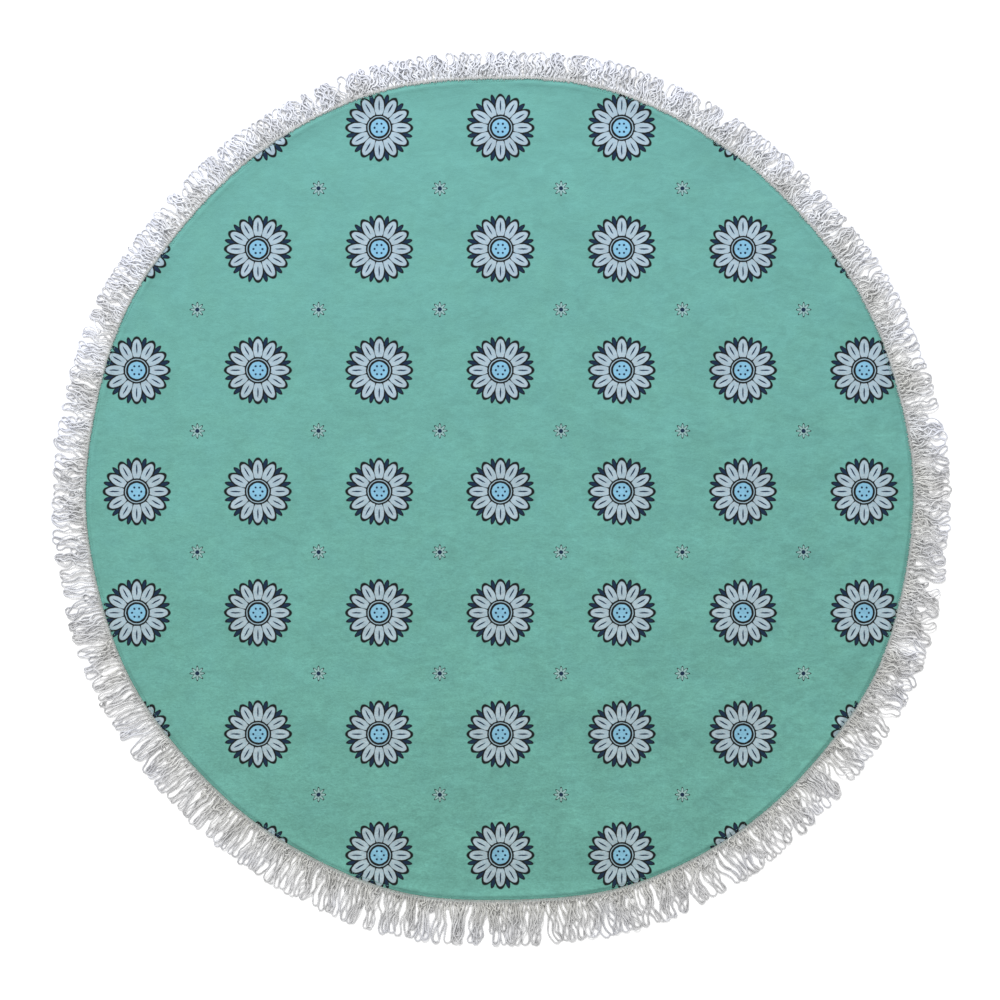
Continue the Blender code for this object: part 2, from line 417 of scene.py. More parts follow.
def yarnTree():
    tree, given, made = newGroup("twistedYarn", "GeometryNodeTree", {
        "Geometry": "Geometry", "Step": "Float", "Pitch": "Float", "Width": "Float", "Flatness": "Float",
        "Seed": "Int", "Material": "Material",
    }, {"Geometry": "Geometry"})
    bent = output(tree, "GeometryNodeCurveSplineType", {0: given["Geometry"]}, spline_type="CATMULL_ROM")
    even = resampled(tree, bent, given["Step"])
    level = output(tree, "GeometryNodeSetCurveNormal", {"Curve": even}, mode="Z_UP")
    whichCurve = output(tree, "GeometryNodeCurveOfPoint")
    start = randomFloat(tree, 0.0, 2 * math.pi, given["Seed"], ID=whichCurve)
    travelled = addNode(tree, "GeometryNodeSplineParameter").outputs["Length"]
    turns = maths(tree, "DIVIDE", travelled, given["Pitch"])
    twist = maths(tree, "MULTIPLY_ADD", turns, 2 * math.pi, start)
    tilted = output(tree, "GeometryNodeSetCurveTilt", {"Curve": level, "Tilt": twist})
    # each length of yarn has a shade of its own
    shade = randomFloat(tree, 0.0, 1.0, maths(tree, "ADD", given["Seed"], 7), ID=whichCurve)
    shaded = stored(tree, tilted, "shade", shade)
    fourSided = {"Resolution": 4, "Radius": product(tree, given["Width"], 0.5)}
    ring = output(tree, "GeometryNodeCurvePrimitiveCircle", fourSided)
    # two plies: the material paints shade along every other corner, where the hollow between them runs
    between = maths(tree, "MODULO", output(tree, "GeometryNodeInputIndex"), 2.0)
    squash = output(tree, "ShaderNodeCombineXYZ", {0: 1.0, 1: given["Flatness"], 2: 1.0})
    section = transformed(tree, stored(tree, ring, "grooveShade", between), Scale=squash)
    swept = {"Curve": shaded, "Profile Curve": section, "Fill Caps": True}
    yarn = output(tree, "GeometryNodeCurveToMesh", swept)
    return finished(tree, made, yarn, given["Material"])


# Header of the fringe: a tape under the hem, a band outside it, a cord along the band and whipping over both

header = {
    "section": (  # distance outside the cloth's edge, and height
        (-0.0095, 0.0014), (0.0006, 0.0014), (0.0008, 0.0030), (0.0014, 0.0034), (0.0048, 0.0034),
        (0.0054, 0.0028), (0.0054, 0.0006), (0.0050, 0.0002), (-0.0095, 0.0002),
    ),
    "segments": 480,
    "sharpFrom": 50,  # degrees
    "cordOut": 0.0006,  # from the cloth's edge
    "cordHeight": 0.0029,
    "cord": {"Step": 0.0012, "Pitch": 0.0052, "Width": 0.0024, "Flatness": 0.72, "Seed": 21},
}


def makeHeader(material):
    count = header["segments"]
    angle = np.arange(count) * 2 * math.pi / count
    corners = []
    for out, height in header["section"]:
        radius = towel["radius"] * edgeScale(angle) + out
        corners.append(np.stack([radius * np.cos(angle), radius * np.sin(angle), height + 0 * angle], 1))
    rings = [range(k * count, (k + 1) * count) for k in range(len(corners))]
    faces = []
    for a, b in zip(rings, rings[1:] + rings[:1]):
        faces += ringFaces(a, b)
    piece = meshFrom("fringe_header", np.concatenate(corners).tolist(), faces, material)
    piece.data.set_sharp_from_angle(angle=math.radians(header["sharpFrom"]))
    return piece


def makeCord(material, tree):
    curve = ringPath("cord", header["cordOut"], header["cordHeight"])
    return grown("fringe_cord", curve, tree, header["cord"], material)


whipping = {
    "out": 0.0020,  # from the cloth's edge to the stitches' middles
    "height": 0.0042,
    "row": {  # for the stitches' tree
        "Spacing": 0.0007,
        "Size": (0.0080, 0.0010, 0.0009),  # length, width and depth
        "Turn": math.radians(80),  # from the way the edge runs
        "Turn Chance": math.radians(38),
        "Length Chance": 0.40,
        "Unevenness": 0.0008,
        "Seed": 23,
    },
    "wander": 0.0005,  # of the seam, in and out
    "wanderWaves": (0.04, 0.20),
    "wanderSeed": 23,
    "drift": 0.0014,  # further in on one side of the towel and further out on the other
    "driftTo": 240.0,
}


def makeWhipping(material, tree):
    # loose thread sewn over the edge, which hides the loops' feet
    drift = whipping["drift"] * np.cos(ringAngles - math.radians(whipping["driftTo"]))
    wander = whipping["wander"] * ripple(ringAngles, whipping["wanderSeed"], *whipping["wanderWaves"])
    path = ringPath("edgeSeam", whipping["out"] + drift + wander, whipping["height"])
    return grown("fringe_whipping", path, tree, whipping["row"], material)


# Loops of the fringe

fringe = {
    "loops": 480,
    "pieces": 4,
    "rootOut": 0.0031,  # the feet start this far outside the cloth's edge, in the header's band
    "rootChance": 0.0016,
    "rootHeight": 0.0030,
    "bandTop": 0.0040,  # of the yarn's middle line, where it crosses the band
    "onFloorFrom": 0.0110,  # along the loop
    "footHalf": 0.0034,  # from the loop's middle line to a leg, at the foot
    "footChance": 0.0010,
    "yarn": {"Step": 0.0013, "Pitch": 0.0085, "Width": 0.0031, "Flatness": 0.84},
    "lowest": 0.0017,  # of the yarn's middle line
    "highest": 0.0115,
    "layer": 0.0021,  # between the lower loops and those that lie over them
    "clear": 0.0001,  # between the yarn and the floor
    "seed": 11,
    "angleChance": 0.25,  # of the space between two loops
    "upperLayer": (0.7, 1.3),  # of every second loop
    "layerChance": (0, 0.35),
    "reachShare": (0.94, 1.02),
    "widthShare": (0.65, 1.6, 0.95),  # least, most and likeliest
    "leanChance": (2, 14),  # in degrees, without crumple and what crumple adds
    "gatherSpace": (0.024, 0.085),  # between the places where neighbours are drawn together
    "shortAside": (0.2, 0.8),  # of a short loop from the one beside it
    "shortLayer": (0, 1.6),
    "shortReach": (0.5, 0.92),
    "shortWidth": 0.85,
    # what the loops are like, by angle: how far they reach from the cloth's edge, how often a short one lies
    # beside one, how crumpled, half width, how far neighbours are drawn together, lean in degrees, how often
    # a curl stands at the foot, and how close together they are
    "qualities": ("reach", "short", "crumple", "half", "pull", "lean", "curls", "crowd"),
    "character": (
        (0, 0.0632, 0.50, 0.54, 0.0050, 0.06, 0, 0.9, 1.08),
        (24, 0.0575, 0.45, 0.50, 0.0050, 0.08, 3, 0.7, 1.15),
        (45, 0.0540, 0.42, 0.50, 0.0047, 0.08, -4, 0.7, 1.25),
        (68, 0.0510, 0.55, 0.68, 0.0042, 0.05, 0, 0.9, 1.38),
        (90, 0.0455, 0.65, 0.78, 0.0039, 0.05, 0, 1.0, 1.50),
        (112, 0.0462, 0.60, 0.74, 0.0040, 0.06, 5, 0.9, 1.50),
        (135, 0.0512, 0.45, 0.56, 0.0045, 0.08, 9, 0.4, 1.42),
        (158, 0.0565, 0.40, 0.54, 0.0047, 0.10, 0, 0.3, 1.25),
        (180, 0.0590, 0.36, 0.52, 0.0050, 0.10, -7, 0.4, 1.08),
        (205, 0.0665, 0.22, 0.27, 0.0047, 0.10, -4, 0.6, 1.18),
        (225, 0.0718, 0.22, 0.22, 0.0047, 0.12, 0, 0.7, 1.20),
        (248, 0.0760, 0.34, 0.28, 0.0047, 0.15, 7, 0.7, 1.28),
        (270, 0.0770, 0.40, 0.32, 0.0049, 0.18, 2, 0.7, 1.30),
        (292, 0.0772, 0.40, 0.38, 0.0050, 0.20, 0, 0.8, 1.30),
        (315, 0.0702, 0.42, 0.42, 0.0050, 0.20, 0, 0.9, 1.18),
        (338, 0.0694, 0.46, 0.50, 0.0050, 0.12, 2, 1.0, 1.08),
    ),
    # where the fringe parts: angle, and how wide between the tips
    "partings": (
        (22.6, 0.014), (27.0, 0.007), (57.9, 0.008), (124.3, 0.006), (132.4, 0.012), (140.3, 0.014),
        (157.6, 0.014), (175.5, 0.010), (182.2, 0.010), (211.0, 0.009), (251.0, 0.007), (268.0, 0.009),
        (271.8, 0.009), (276.3, 0.016), (282.4, 0.011), (290.5, 0.012), (294.3, 0.008), (320.3, 0.016),
        (325.3, 0.009), (343.4, 0.017), (352.0, 0.007),
    ),
    "partingSpread": 0.016,  # how quickly the push dies away to the sides
}

curls = {
    "count": 260,
    "reach": (0.011, 0.032),  # from the cloth's edge
    "half": 0.0034,
    "widthShare": (0.7, 1.4),
    "leanChance": 25,
    "crumple": 0.7,
    "yarnWidth": 0.0027,
    "layer": (0.3, 1.4),
    "seed": 31,
}

# How any loop's yarn runs, in shares of its length. Of two values for crumple, full crumple adds the second.
course = {
    "steps": 30,
    "startsOver": 0.20,  # lean and wobble come in
    "bend": (6, 30),  # for crumple, in degrees
    "wobble": (5, 62),  # the same
    "wobblePower": 1.2,
    "wobbleShare": (0.6, 1.15),
    "fewestWaves": (0.8, 0.4),  # the same
    "mostWaves": (1.2, 1.5),
    "neck": (0.62, 1.05),  # of the half width
    "neckAt": 0.35,
    "widensFrom": 0.30,
    "widensOver": 0.1,  # at least
    "tip": 1.15,  # its length, of the half width
    "longestTip": 0.45,
    "tipPoints": (0.04, 0.12, 0.25, 0.45),  # extra points, in shares of the tip from its end
    "crossed": (0.06, 0.20),  # for crumple: how often the legs cross
    "halfTurns": (0.7, 1.15),  # where they do
    "tilt": 0.4,  # where they don't
    "rollFrom": (0.10, 0.55),
    "rollOver": 0.45,
    "rollRise": 0.55,
    "lift": 0.0050,
    "liftWaves": (0.8, 1.6),
    "legRise": 0.5,
    "riseOver": 0.15,
    "rootLength": 0.0025,  # in metres
    "wander": (0.0004, 0.0017),  # for crumple, in metres: of each leg by itself
    "wanderShare": (0.4, 1.0),
    "wanderWaves": (28, 62),  # a metre
}


def eased(value):
    value = min(1.0, max(0.0, value))
    return value * value * (3 - 2 * value)


def characterAt(angle, quality):
    # the table's value at this angle, eased between its rows
    rows = fringe["character"]
    column = 1 + fringe["qualities"].index(quality)
    degrees = math.degrees(angle) % 360
    after = next((i for i, row in enumerate(rows) if row[0] > degrees), len(rows))
    low, high = rows[after - 1], rows[after % len(rows)]
    share = eased((degrees - low[0]) / ((high[0] - low[0]) % 360))
    return low[column] + (high[column] - low[column]) * share


def crowdedAngles(count):
    # that many angles round the towel, closer together where the table says so
    fine = np.append(ringAngles, 2 * math.pi)
    crowd = np.array([characterAt(angle, "crowd") for angle in fine])
    total = np.concatenate([[0.0], np.cumsum(crowd[1:] + crowd[:-1])])
    return np.interp((np.arange(count) + 0.5) * total[-1] / count, total, fine)


def crumpled(pair, crumple):
    return pair[0] + pair[1] * crumple


def loopSpine(chance, lean, crumple, reach):
    # the loop's middle line, out from the header, scaled so that it gets just as far as its reach
    steps = course["steps"]
    bend = math.radians(chance.uniform(-1, 1) * crumpled(course["bend"], crumple))
    most = crumpled(course["wobble"], crumple ** course["wobblePower"])
    wobble = math.radians(chance.uniform(*course["wobbleShare"]) * most)
    waves = chance.uniform(*(crumpled(course[pair], crumple) for pair in ("fewestWaves", "mostWaves")))
    phase = chance.uniform(0, 2 * math.pi)
    heading = []
    for i in range(steps):
        s = (i + 0.5) / steps
        ease = min(1.0, s / course["startsOver"])
        heading.append(lean * ease + bend * s * s + wobble * ease * math.sin(2 * math.pi * waves * s + phase))
    places = [(0.0, 0.0)]
    for h in heading:
        places.append((places[-1][0] + math.cos(h) / steps, places[-1][1] + math.sin(h) / steps))
    length = reach / max(x for x, y in places)
    turned = [heading[0]] + [(a + b) / 2 for a, b in zip(heading, heading[1:])] + [heading[-1]]
    return [(x * length, y * length, h) for (x, y), h in zip(places, turned)], length


def loopPath(chance, angle, lean, layer, tip, half, crumple):
    # the yarn from foot to foot of a loop that gets this far from the cloth's edge
    rootOut = fringe["rootOut"] + fringe["rootChance"] * chance.uniform(-1, 1)
    spine, length = loopSpine(chance, lean, crumple, tip - rootOut - fringe["yarn"]["Width"] / 2)
    neck = half * chance.uniform(*course["neck"])
    if chance.random() < crumpled(course["crossed"], crumple):
        roll = math.pi * chance.uniform(*course["halfTurns"]) * chance.choice((-1, 1))
    else:
        roll = chance.uniform(-course["tilt"], course["tilt"])
    rollFrom = chance.uniform(*course["rollFrom"])
    tipFrom = 1 - min(course["longestTip"], course["tip"] * half / length)
    lift = fringe["layer"] * layer + course["lift"] * crumple * chance.random()
    liftWaves = chance.uniform(*course["liftWaves"])
    last = len(spine) - 1
    share = sorted({i / last for i in range(last + 1)} | {1 - (1 - tipFrom) * k for k in course["tipPoints"]})
    # each leg wanders by itself between the foot and the tip
    legs = {side: {
        "foot": fringe["footHalf"] + fringe["footChance"] * chance.uniform(-1, 1),
        "size": crumpled(course["wander"], crumple) * chance.uniform(*course["wanderShare"]),
        "waves": length * chance.uniform(*course["wanderWaves"]),
        "phase": chance.uniform(0, 2 * math.pi),
        "rise": fringe["layer"] * chance.uniform(0, course["legRise"] + crumple),
    } for side in (1, -1)}

    def legAt(s, side):
        leg = legs[side]
        if s < tipFrom:
            wide = leg["foot"] + (neck - leg["foot"]) * eased(s / course["neckAt"])
            widensOver = max(course["widensOver"], tipFrom - course["widensFrom"])
            wide += (half - neck) * eased((s - course["widensFrom"]) / widensOver)
            loose = math.sin(math.pi * min(1.0, s / tipFrom))
        else:
            wide = half * math.sqrt(max(0.0, 1 - ((s - tipFrom) / (1 - tipFrom)) ** 2))
            loose = 0.0
        at = s * last
        i = min(int(at), last - 1)
        x, y, h = (a + (b - a) * (at - i) for a, b in zip(spine[i], spine[i + 1]))
        turn = roll * eased((s - rollFrom) / course["rollOver"])
        wander = leg["size"] * loose * math.sin(2 * math.pi * leg["waves"] * s + leg["phase"])
        sideways = wide * math.cos(turn) * side + wander
        rise = lift * abs(math.sin(math.pi * min(1.0, s * liftWaves))) + leg["rise"] * loose
        rise += course["rollRise"] * (abs(wide * math.sin(turn)) + wide * math.sin(turn) * side)
        lowest = fringe["lowest"]
        z = lowest + min(rise * eased(s / course["riseOver"]), fringe["highest"] - lowest)
        # over the header's band, then down to the floor
        overBand = 1 - eased(s * length / fringe["onFloorFrom"])
        z = max(z, lowest + (fringe["bandTop"] - lowest) * overBand)
        z = z + (fringe["rootHeight"] - z) * (1 - eased(s * length / course["rootLength"]))
        return x - math.sin(h) * sideways, y + math.cos(h) * sideways, z

    outline = [legAt(s, 1) for s in share] + [legAt(s, -1) for s in reversed(share[:-1])]
    root = towel["radius"] * edgeScale(angle) + rootOut
    c, n = math.cos(angle), math.sin(angle)
    return [((root + x) * c - y * n, (root + x) * n + y * c, z) for x, y, z in outline]


def gatherPoints(chance):
    # where neighbouring loops are drawn together, as angles
    points, angle = [], 0.0
    while angle < 2 * math.pi:
        points.append(angle)
        angle += chance.uniform(*fringe["gatherSpace"]) / towel["radius"]
    return points


def turnBetween(start, end):
    # the shorter way round
    return (end - start + math.pi) % (2 * math.pi) - math.pi


def partedBy(angle):
    # how far the partings near by push a loop's tip aside
    push = 0.0
    for place, opening in fringe["partings"]:
        away = towel["radius"] * turnBetween(math.radians(place), angle)
        push += math.copysign(opening / 2, away) * math.exp(-abs(away) / fringe["partingSpread"])
    return push


def loopAt(chance, angle, gathers, layer, share, wide):
    # a loop at this angle, with these shares of the full reach and width
    toGather = min((turnBetween(angle, gather) for gather in gathers), key=abs)
    aside = toGather * towel["radius"] * characterAt(angle, "pull") + partedBy(angle)
    crumple = characterAt(angle, "crumple")
    lean = math.atan(aside / characterAt(angle, "reach"))
    leanChance = crumpled(fringe["leanChance"], crumple)
    lean += math.radians(characterAt(angle, "lean") + chance.gauss(0, leanChance))
    half = characterAt(angle, "half") * wide * chance.triangular(*fringe["widthShare"])
    return loopPath(chance, angle, lean, layer, characterAt(angle, "reach") * share, half, crumple)


def addYarn(curve, path):
    spline = curve.splines.new("POLY")
    spline.points.add(len(path) - 1)
    spline.points.foreach_set("co", np.array([(*place, 1.0) for place in path], np.float32).ravel())


def makeLoops(material, tree):
    chance = random.Random(fringe["seed"])
    gathers = gatherPoints(chance)
    angles = crowdedAngles(fringe["loops"])
    pitch = 2 * math.pi / fringe["loops"]
    aside = fringe["angleChance"]
    made = []
    for piece, angled in enumerate(np.split(angles, fringe["pieces"])):
        curve = newCurve("loops")
        for i, angle in enumerate(angled):
            angle += pitch * chance.uniform(-aside, aside)
            layer = (i % 2) * chance.uniform(*fringe["upperLayer"]) + chance.uniform(*fringe["layerChance"])
            addYarn(curve, loopAt(chance, angle, gathers, layer, chance.uniform(*fringe["reachShare"]), 1.0))
            if chance.random() < characterAt(angle, "short"):
                beside = angle + pitch * chance.uniform(*fringe["shortAside"])
                layer, reach = (chance.uniform(*fringe[name]) for name in ("shortLayer", "shortReach"))
                addYarn(curve, loopAt(chance, beside, gathers, layer, reach, fringe["shortWidth"]))
        values = {**fringe["yarn"], "Seed": fringe["seed"] + piece}
        made.append(grownYarn("fringe_loops_%d" % (piece + 1), curve, tree, values, material))
    return made


def makeCurls(material, tree):
    # short crumpled loops that stand among the feet of the others
    chance = random.Random(curls["seed"])
    curve = newCurve("curls")
    for i in range(curls["count"]):
        angle = 2 * math.pi * (i + chance.random()) / curls["count"]
        if chance.random() > characterAt(angle, "curls"):
            continue
        half = curls["half"] * chance.uniform(*curls["widthShare"])
        tip = chance.uniform(*curls["reach"])
        lean = math.radians(chance.gauss(0, curls["leanChance"]))
        layer = chance.uniform(*curls["layer"])
        addYarn(curve, loopPath(chance, angle, lean, layer, tip, half, curls["crumple"]))
    values = {**fringe["yarn"], "Width": curls["yarnWidth"], "Seed": curls["seed"]}
    return grownYarn("fringe_curls", curve, tree, values, material)


def grownYarn(*wanted):
    # yarn along a curve, with nothing of it below the floor
    yarn = grown(*wanted)
    places = np.empty(3 * len(yarn.data.vertices), np.float32)
    yarn.data.vertices.foreach_get("co", places)
    places[2::3] = np.maximum(places[2::3], fringe["clear"])
    yarn.data.vertices.foreach_set("co", places)
    return yarn


# Colours are linear

inks = {
    "ground": (0.1027, 0.278, 0.241),
    "black": (0.003, 0.004, 0.004),
    "navy": (0.004, 0.016, 0.040),
    "pale": (0.245, 0.345, 0.400),
    "blush": (0.302, 0.364, 0.400),
    "sky": (0.160, 0.346, 0.470),
    "mist": (0.202, 0.329, 0.320),
}

pattern = {
    "pitch": 0.2057,  # from one daisy to the next, across and up
    # ovals round the daisy: how many, how far from its middle, half length and half width
    "petal": (12, 0.0360, 0.0168, 0.0080),
    "vein": (12, 0.0380, 0.0085, 0.0012),
    "sepal": (12, 0.0460, 0.0090, 0.0030),
    "seed": (6, 0.0078, 0.0019, 0.0019),
    "petalLine": 1.30,  # of the petal's size
    "sepalLine": (1.35, 0.12),  # of the sepal's size, and how soft
    "sepalFill": (1.0, 0.15),
    "fineFill": (1.0, 0.25),  # for veins and seeds
    "eyeRadius": 0.0225,
    "eyeRing": (0.0182, 0.0196),
    "eyeInner": 0.0145,
    "starPoints": 8.0,
    "starMiddle": 0.0100,
    "starDepth": 0.0032,
    "starLine": 0.0019,
    "starDot": 0.0036,
    "softness": 0.0005,
    "wander": 0.0014,  # of the lines
    "wanderScale": 160.0,
    "mottleScale": 420.0,
    "mottleSpan": (0.35, 0.65),
}


def printGroup():
    tree, given, made = newGroup("daisyPrint", "ShaderNodeTree", {"Place": "Vector"}, {"Colour": "Color"})
    soft = pattern["softness"]
    blur = {"Vector": given["Place"], "Scale": pattern["wanderScale"], "Detail": 1.0}
    wander = addNode(tree, "ShaderNodeTexNoise", blur).outputs["Color"]
    shift = vectorMaths(tree, "SUBTRACT", wander, (0.5, 0.5, 0.5))
    scaled = vectorMaths(tree, "SCALE", shift, pattern["wander"])
    spot = parts(tree, vectorMaths(tree, "ADD", given["Place"], scaled))

    def cell(offset):
        # distance and direction from the nearest motif
        half = pattern["pitch"] / 2
        across, up = (maths(tree, "WRAP", maths(tree, "ADD", spot[i], offset), half, -half) for i in (0, 1))
        return lengthOf(tree, across, up), maths(tree, "ARCTAN2", up, across)

    def within(value, limit, softness=soft):
        return spread(tree, value, limit - softness, limit + softness, 1.0, 0.0, smooth=True)

    def ovals(name, turned=False):
        # 1 at an oval's edge and less inside it
        count, centre, halfLength, halfWidth = pattern[name]
        half = math.pi / count
        angle = maths(tree, "WRAP", maths(tree, "ADD", direction, half if turned else 0.0), half, -half)
        along = maths(tree, "SUBTRACT", product(tree, away, maths(tree, "COSINE", angle)), centre)
        across = product(tree, away, maths(tree, "SINE", angle))
        sizes = ((along, halfLength), (across, halfWidth))
        return lengthOf(tree, *(maths(tree, "DIVIDE", value, size) for value, size in sizes))

    def ink(name):
        return (*inks[name], 1.0)

    away, direction = cell(0.0)
    petal, vein, seed, sepal = ovals("petal"), ovals("vein"), ovals("seed"), ovals("sepal", turned=True)
    grain = soft / pattern["petal"][3]
    ringLow, ringHigh = pattern["eyeRing"]
    mottle = spread(tree, noiseAt(tree, given["Place"], pattern["mottleScale"]), *pattern["mottleSpan"])

    starAway, starDirection = cell(pattern["pitch"] / 2)
    wave = maths(tree, "COSINE", product(tree, starDirection, pattern["starPoints"]))
    starEdge = maths(tree, "SUBTRACT", starAway, product(tree, wave, pattern["starDepth"]))

    colour = ink("ground")
    for mask, over in (
        (within(sepal, *pattern["sepalLine"]), ink("black")),
        (within(sepal, *pattern["sepalFill"]), ink("navy")),
        (within(petal, pattern["petalLine"], grain), ink("black")),
        (within(petal, 1.0, grain), mixColour(tree, mottle, ink("pale"), ink("blush"))),
        (within(vein, *pattern["fineFill"]), ink("navy")),
        (within(away, pattern["eyeRadius"]), ink("black")),
        (maths(tree, "SUBTRACT", within(away, ringHigh), within(away, ringLow)), ink("pale")),
        (within(away, pattern["eyeInner"]), ink("sky")),
        (within(seed, *pattern["fineFill"]), ink("navy")),
        (within(starEdge, pattern["starMiddle"]), ink("black")),
        (within(starEdge, pattern["starMiddle"] - pattern["starLine"]), ink("mist")),
        (within(starAway, pattern["starDot"]), ink("navy")),
    ):
        colour = mixColour(tree, mask, colour, over)
    plug(tree, made["Colour"], colour)
    return tree


napLayers = {  # how the pile lies, in noises about 0.5: scale, detail, stretch, turn in degrees and swirl
    "Clouds": (9.0, 2.0, (1, 1.4, 1), 12, 0.0),
    "Patches": (34.0, 2.0, (0.8, 1.7, 1), -16, 1.2),
    "Strokes": (100.0, 2.5, (0.75, 1.8, 1), 16, 1.4),
    "Grain": (330.0, 2.5, (1, 1.3, 1), 20, 0.4),
}


def napGroup():
    outputs = dict.fromkeys(napLayers, "Float")
    tree, given, made = newGroup("brushedNap", "ShaderNodeTree", {"Place": "Vector"}, outputs)
    for layer, noise in napLayers.items():
        plug(tree, made[layer], noiseAt(tree, given["Place"], *noise))
    return tree


def newMaterial(name, look):
    material = bpy.data.materials.new(name)
    material.use_nodes = True
    shader = material.node_tree.nodes["Principled BSDF"]
    for socket, value in (
        ("Roughness", look["roughness"]), ("Specular IOR Level", 0.2),
        ("Sheen Weight", look["sheen"]), ("Sheen Roughness", 0.6),
    ):
        shader.inputs[socket].default_value = value
    return material, material.node_tree, shader


def placeOf(tree):
    return addNode(tree, "ShaderNodeTexCoord").outputs["Object"]


def attribute(tree, name):
    return addNode(tree, "ShaderNodeAttribute", attribute_name=name).outputs["Fac"]


def paint(tree, shader, colour, factor):
    # the colour made lighter or darker
    grey = output(tree, "ShaderNodeCombineColor", {i: factor for i in range(3)})
    plug(tree, shader.inputs["Base Color"], mixColour(tree, 1.0, colour, grey, "MULTIPLY"))


def roughen(tree, shader, height, strength, distance):
    bump = output(tree, "ShaderNodeBump", {"Height": height, "Strength": strength, "Distance": distance})
    plug(tree, shader.inputs["Normal"], bump)


pile = {
    "roughness": 0.92,
    "sheen": 0.03,
    "layers": {"Clouds": 0.055, "Patches": 0.085, "Strokes": 0.085, "Grain": 0.09},  # lighter or darker by
    "layerSpan": (0.25, 0.75),
    "worn": (1.3, 0.4),  # how much of the strokes and grain there is at -Y and at +Y
    "uneven": (0.75, 1.25),  # the same for clouds and patches, from the upper left to the lower right
    "slantSpan": (-0.8, 0.8),
    "topSpan": (-0.6, 0.6),
    "hue": (21.0, 2.0, -0.2, 0.2),  # a noise's scale and detail, and its least and greatest effect
    "low": (0.975, 0.965, 0.925, 1.0),  # painted light: warmer tint at -Y
    "high": (0.985, 1.0, 1.05, 1.0),
    "strokeRelief": 0.8,  # beside the grain's 1
    "relief": (0.5, 0.0008),
}


def printedFaceMaterial(nap):
    material, tree, shader = newMaterial("printedPile", pile)
    place = placeOf(tree)
    printed = output(tree, "ShaderNodeGroup", {"Place": place}, node_tree=printGroup())
    brushed = addNode(tree, "ShaderNodeGroup", {"Place": place}, node_tree=nap).outputs
    x, y, _ = parts(tree, place)
    worn = spread(tree, y, *pile["topSpan"], *pile["worn"])
    uneven = spread(tree, maths(tree, "SUBTRACT", x, y), *pile["slantSpan"], *pile["uneven"])
    shares = {"Clouds": uneven, "Patches": uneven, "Strokes": worn, "Grain": worn}
    changes = []
    for layer, size in pile["layers"].items():
        change = spread(tree, brushed[layer], *pile["layerSpan"], -size, size)
        changes.append(maths(tree, "MULTIPLY_ADD", change, shares[layer], 1.0))
    # painted light: the face bluer towards +Y and warmer towards -Y, with a random change of hue
    hue = maths(tree, "ADD", spread(tree, y, *pile["topSpan"]), varied(tree, place, *pile["hue"]))
    tint = mixColour(tree, spread(tree, hue, 0.0, 1.0), pile["low"], pile["high"])
    coloured = mixColour(tree, 1.0, printed, tint, "MULTIPLY")
    paint(tree, shader, coloured, product(tree, *changes))
    height = maths(tree, "MULTIPLY_ADD", brushed["Strokes"], pile["strokeRelief"], brushed["Grain"])
    roughen(tree, shader, height, *pile["relief"])
    return material


terry = {
    "roughness": 0.95,
    "sheen": 0.15,
    "colour": (0.74, 0.74, 0.73, 1.0),
    "loopScale": 620.0,
    "loopChance": 0.7,
    "loopSpan": (0.0, 0.7),
    "loopShade": (1.03, 0.86),  # painted shade, from the middle of a loop outwards into the hollows between loops
    "clouds": (0.97, 1.03),
    "relief": (0.6, 0.0008),
}


def terryMaterial(nap):
    material, tree, shader = newMaterial("whiteTerry", terry)
    place = placeOf(tree)
    brushed = addNode(tree, "ShaderNodeGroup", {"Place": place}, node_tree=nap).outputs
    cells = {"Vector": place, "Scale": terry["loopScale"], "Randomness": terry["loopChance"]}
    away = output(tree, "ShaderNodeTexVoronoi", cells)
    # painted shade between the terry loops
    shade = spread(tree, away, *terry["loopSpan"], *terry["loopShade"])
    factor = product(tree, shade, fromNoise(tree, brushed["Clouds"], *terry["clouds"]))
    paint(tree, shader, terry["colour"], factor)
    roughen(tree, shader, maths(tree, "SUBTRACT", 1.0, away), *terry["relief"])
    return material


yarns = {  # painted light: cool and lighter at +Y, warm at -Y; and how much each thing lightens or darkens
    "fringeYarn": {
        "cool": (0.581, 0.600, 0.664, 1.0), "warm": (0.514, 0.514, 0.512, 1.0),
        "contrast": 0.15, "grooveShade": 0.05, "flankShade": 0.06,
    },
    "headerYarn": {
        "cool": (0.43, 0.44, 0.44, 1.0), "warm": (0.35, 0.355, 0.35, 1.0),
        "contrast": 0.03, "grooveShade": 0.16, "flankShade": 0.10,
    },
}

yarnLook = {
    "roughness": 0.9,
    "sheen": 0.1,
    "slant": -0.2,  # the cool side is turned a little from +Y
    "topSpan": (-0.55, 0.75),
    "wash": (14.0, 1.0, -0.35, 0.35),  # scale, detail, least and greatest effect
    "rootSpan": (0.708, 0.752),  # from the towel's middle
    # painted shade at the header towards -Y, and painted light there towards +Y
    "lowRoot": (0.95, 0.95, 0.905, 1.0),  # at -Y
    "highRoot": (1.14, 1.14, 1.10, 1.0),
    "highOver": (0.5, 1.0),  # of coolness
    "tip": (1.0, 1.0, 1.015, 1.0),
    "fibreScale": 1100.0,
    "fibres": (0.90, 1.06),
    "patchScale": 150.0,
    "patchSpan": (0.32, 0.68),
    "patches": (0.15, 0.06),  # at -Y and at +Y
    "patchesOver": (0.2, 1.0),  # of coolness
    "patchMiddle": 0.985,
    "broad": (17.0, 1.0, 0.94, 1.05),
    "grooveShadeSpan": (0.35, 1.0),
    "flankShadeSpan": (0.05, 0.85),  # of how far the surface looks up
    "relief": (0.5, 0.0004),
}


